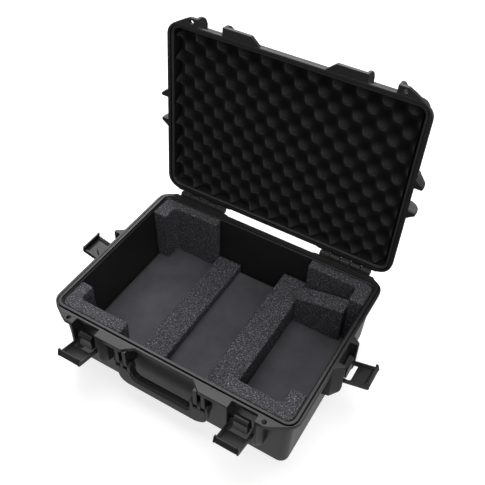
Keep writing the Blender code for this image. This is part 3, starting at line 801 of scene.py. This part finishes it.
def foam(name, shape, node, material, seed, voxel_mm=2.2, rough_mm=0.4):
    """Makes a cut block in place of a node: even skin, then a coarse and a fine wander."""
    piece = make(name, shape, "base", [node], material)
    soften(piece, voxel_mm)
    wander(piece, rough_mm, 14.0, seed)
    wander(piece, 0.5 * rough_mm, 4.5, seed + 9)
    return piece


def inside_at(z):
    """Half width and half depth inside the tub at height z."""
    share = (z - INSIDE_FOOT_Z) / (RIB_TOP - INSIDE_FOOT_Z)
    low = (WALL_BOTTOM[0] - WALL_T, WALL_BOTTOM[1] - WALL_T)
    return [a + (b - a) * share for a, b in zip(low, INSIDE_TOP)]


def block_outline(z, inner_x, inner_y, end_y):
    """An L seen from above for the +X, +Y corner, its outer faces following the wall at height z."""
    wall_x, wall_y = [wall - 0.5 for wall in inside_at(z)]
    points = [(BLOCK_IN, inner_y), (inner_x, inner_y), (inner_x, end_y), (wall_x, end_y)]
    points += arc((wall_x - BLOCK_CORNER, wall_y - BLOCK_CORNER), BLOCK_CORNER, 0, 90, 8)
    return points + [(BLOCK_IN, wall_y)]


def build_corner_blocks():
    painted_glints = (
        ("rear_left", -1, 1, 204.0, 149.0, 116.0),
        ("rear_right", 1, 1, 205.5, 149.0, 115.0),
        ("front_left", -1, -1, 210.0, 142.0, 108.0),
        ("front_right", 1, -1, 205.0, 141.0, 109.0),
    )
    for seed, (name, sx, sy, inner_x, inner_y, end_y) in enumerate(painted_glints):
        rings = []
        for z in (FLOOR_TOP + 0.3, FOAM_TOP):
            rings.append(([(sx * x, sy * y) for x, y in block_outline(z, inner_x, inner_y, end_y)], z))
        shape = bmesh.new()
        loft(shape, rings)
        foam(f"corner_block_{name}", shape, f"corner_foam_{name}", PLANK, seed)


def from_box(node, shape):
    """Fills shape with the node's own box, in millimetres."""
    low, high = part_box(node)
    low = [value / MM for value in low]
    high = [value / MM for value in high]
    corners = [(low[0], low[1]), (high[0], low[1]), (high[0], high[1]), (low[0], high[1])]
    loft(shape, [(corners, low[2]), (corners, high[2])])


def build_planks():
    """The two planks from front to rear, then the block whose top rises to the right."""
    for seed, side in enumerate(("left", "right")):
        shape = bmesh.new()
        from_box(f"foam_strip_{side}", shape)
        foam(f"plank_{side}", shape, f"foam_strip_{side}", PLANK, 20 + seed, rough_mm=0.5)
    low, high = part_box("foam_wedge_rear")
    shape = bmesh.new()
    outline = [(low.x / MM, low.z / MM), (high.x / MM, low.z / MM), (high.x / MM, high.z / MM),
               (low.x / MM, high.z / MM - WEDGE_DROP)]
    absorb(shape, bridged([[(a, y / MM, b) for a, b in outline] for y in (low.y, high.y)]))
    foam("sloping_block_rear", shape, "foam_wedge_rear", PLANK, 31)


def build_floor_sheet():
    low = inside_at(INSIDE_FOOT_Z)
    high = inside_at(FLOOR_TOP)
    shape = bmesh.new()
    loft(shape, [
        (rounded_rect(low[0] - 4.6, low[1] - 4.6, 9.0), 4.3),
        (rounded_rect(low[0] - 0.6, low[1] - 0.6, 12.0), 9.4),
        (rounded_rect(high[0] - 0.5, high[1] - 0.5, 12.0), FLOOR_TOP),
    ])
    piece = foam("floor_sheet_foam", shape, "floor_foam", SHEET, 41, 5.0, 0.15)
    wander(piece, 0.35, 70.0, 44)


def egg_height(x, y):
    """Height of the drawn-closed lid foam's face: smooth peaks and hollows in turn."""
    wave = math.cos(math.pi * (x - EGG_PEAK_AT[0]) / EGG_PITCH[0])
    wave *= math.cos(math.pi * (y - EGG_PEAK_AT[1]) / EGG_PITCH[1])
    share = 0.5 + 0.5 * wave
    dome = 0.18 * share + 0.82 * (1.45 - 0.45 * share) * share ** 4
    return EGG_VALLEY - dome * (EGG_VALLEY - EGG_PEAK)


def into_corner(x, y):
    """Pulls a point of the square grid in to the foam's rounded corners."""
    over = Vector((abs(x) - EGG_HALF[0] + EGG_CORNER, abs(y) - EGG_HALF[1] + EGG_CORNER))
    if over.x <= 0 or over.y <= 0:
        return x, y
    reach = max(over.x, over.y)
    flat = over.normalized() * reach
    return (math.copysign(EGG_HALF[0] - EGG_CORNER + flat.x, x),
            math.copysign(EGG_HALF[1] - EGG_CORNER + flat.y, y))


def build_egg_foam():
    """Lid foam as a height grid closed at its back; rise, 0 in the hollows and 1 on the peaks, keys the
    painted shade and painted light in its colour.
    """
    columns, rows = EGG_GRID
    shape = bmesh.new()
    rise = shape.verts.layers.float.new("rise")
    face = []
    for row in range(rows + 1):
        line = []
        for column in range(columns + 1):
            x = EGG_HALF[0] * (2 * column / columns - 1)
            y = EGG_HALF[1] * (2 * row / rows - 1)
            x, y = into_corner(x, y)
            rough = noise.noise(Vector((x, y, 3.0)) / 30.0)
            rough += 0.5 * noise.noise(Vector((x, y, 7.0)) / 5.0)
            z = egg_height(x, y)
            line.append(shape.verts.new((x, y, z + 0.5 * rough)))
            line[-1][rise] = (EGG_VALLEY - z) / (EGG_VALLEY - EGG_PEAK)
        face.append(line)
    for row in range(rows):
        for column in range(columns):
            shape.faces.new((face[row][column], face[row][column + 1], face[row + 1][column + 1],
                             face[row + 1][column]))
    rim = [face[0][c] for c in range(columns)] + [face[r][columns] for r in range(rows)]
    rim += [face[rows][c] for c in range(columns, 0, -1)] + [face[r][0] for r in range(rows, 0, -1)]
    shrink_x, shrink_y = EGG_BACK_SHRINK
    ends = [shape.verts.new((vert.co.x * shrink_x, vert.co.y * shrink_y, EGG_BACK)) for vert in rim]
    for index in range(len(rim)):
        after = (index + 1) % len(rim)
        shape.faces.new((rim[index], rim[after], ends[after], ends[index]))
    shape.faces.new(ends)
    bmesh.ops.recalc_face_normals(shape, faces=shape.faces)
    piece = make("lid_egg_foam", shape, "lid", ["lid_foam"], EGG, LID_PLACE, 60.0)


# Stage


def build_camera():
    data = bpy.data.cameras.new("camera")
    data.lens = LENS
    data.sensor_width = 36.0
    data.clip_start = 0.02
    data.clip_end = 60.0
    camera = bpy.data.objects.new("camera", data)
    turn = Matrix((CAMERA_RIGHT, CAMERA_UP, [-value for value in CAMERA_AHEAD])).transposed()
    camera.matrix_world = Matrix.Translation(CAMERA_AT) @ turn.to_4x4()
    bpy.context.scene.collection.objects.link(camera)
    bpy.context.scene.camera = camera


def flat_mesh(name, x, y, z):
    """One level face between two X and two Y limits, in metres."""
    mesh = bpy.data.meshes.new(name)
    corners = [(x[0], y[0], z), (x[1], y[0], z), (x[1], y[1], z), (x[0], y[1], z)]
    mesh.from_pydata(corners, [], [(0, 1, 2, 3)])
    return mesh


def glowing(name, mesh, tone, roughness, specular, glow):
    """A stage object with a plain grey surface that also gives off an even white light."""
    made, shader = new_material(name, roughness)
    shader.inputs["Base Color"].default_value = (tone, tone, tone, 1.0)
    shader.inputs["Specular IOR Level"].default_value = specular
    shader.inputs["Emission Color"].default_value = (1.0, 1.0, 1.0, 1.0)
    shader.inputs["Emission Strength"].default_value = glow
    mesh.materials.append(made)
    thing = bpy.data.objects.new(name, mesh)
    bpy.context.scene.collection.objects.link(thing)
    return thing


def build_floor(z):
    """Pale floor that takes shadows, kept out of the gloss and giving no bounced light."""
    limits = (-FLOOR_REACH, FLOOR_REACH)
    floor = glowing("studio_floor", flat_mesh("studio_floor", limits, limits, z), 0.5, 0.9, 0.1, FLOOR_GLOW)
    floor.visible_diffuse = False
    floor.visible_glossy = False


def build_bounce_card(z):
    """Bright card under the case, seen only in the gloss of its walls, in the floor's place."""
    card = glowing("bounce_card", flat_mesh("bounce_card", CARD_X, CARD_Y, z), 0.0, 1.0, 0.5, CARD_GLOW)
    card.visible_camera = False
    card.visible_diffuse = False
    card.visible_shadow = False


def build_surround():
    """Pale round backdrop, reaching below the floor so that walls seen from low down still shine."""
    mesh = bpy.data.meshes.new("studio_surround")
    shape = bmesh.new()
    bmesh.ops.create_cone(shape, cap_ends=False, segments=96, radius1=BACKDROP_RADIUS,
                          radius2=BACKDROP_RADIUS, depth=BACKDROP_HEIGHT,
                          matrix=Matrix.Translation((0.0, 0.0, BACKDROP_MIDDLE)))
    shape.to_mesh(mesh)
    shape.free()
    surround = glowing("studio_surround", mesh, 0.0, 1.0, 0.0, BACKDROP_GLOW)
    surround.visible_diffuse = False
    surround.visible_shadow = False


def add_softbox(name, place, target, size, watts):
    data = bpy.data.lights.new(name, "AREA")
    data.shape = "RECTANGLE"
    data.size, data.size_y = size
    data.energy = watts
    lamp = bpy.data.objects.new(name, data)
    lamp.location = place
    lamp.rotation_mode = "QUATERNION"
    lamp.rotation_quaternion = (Vector(target) - Vector(place)).to_track_quat("-Z", "Y")
    bpy.context.scene.collection.objects.link(lamp)


def build_light():
    world = bpy.data.worlds.new("studio")
    world.use_nodes = True
    background = world.node_tree.nodes["Background"]
    background.inputs["Color"].default_value = (1.0, 1.0, 1.0, 1.0)
    background.inputs["Strength"].default_value = WORLD_GLOW
    bpy.context.scene.world = world
    for box in SOFTBOXES:
        add_softbox(*box)
    bpy.context.scene.view_settings.view_transform = "Standard"


def lid_place():
    """Turns a piece drawn on the closed lid back to the open lid of the frame."""
    y, z = HINGE
    turn = Matrix.Rotation(math.radians(-LID_OPEN_DEG), 4, "X")
    return Matrix.Translation((0, y, z)) @ turn @ Matrix.Translation((0, -y, -z))


def clear_startup():
    for obj in list(bpy.data.objects):
        bpy.data.objects.remove(obj, do_unlink=True)


clear_startup()
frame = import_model()
cad_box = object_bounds()
build_camera()
LID_PLACE = lid_place()
PLASTIC = plastic_material()
RUBBER = rubber_material()
STEEL = steel_material()
EGG = egg_material()
PLANK = plank_material()
SHEET = sheet_material()

build_base()
build_lid()
build_gasket()
build_latches()
build_handle()
build_floor_sheet()
build_corner_blocks()
build_planks()
build_egg_foam()
for node_name, node in frame["nodes"].items():
    if "pin" in node_name:
        node.data.materials.clear()
        node.data.materials.append(STEEL)
build_floor(cad_box[0].z)
build_bounce_card(cad_box[0].z + CARD_LIFT)
build_surround()
build_light()
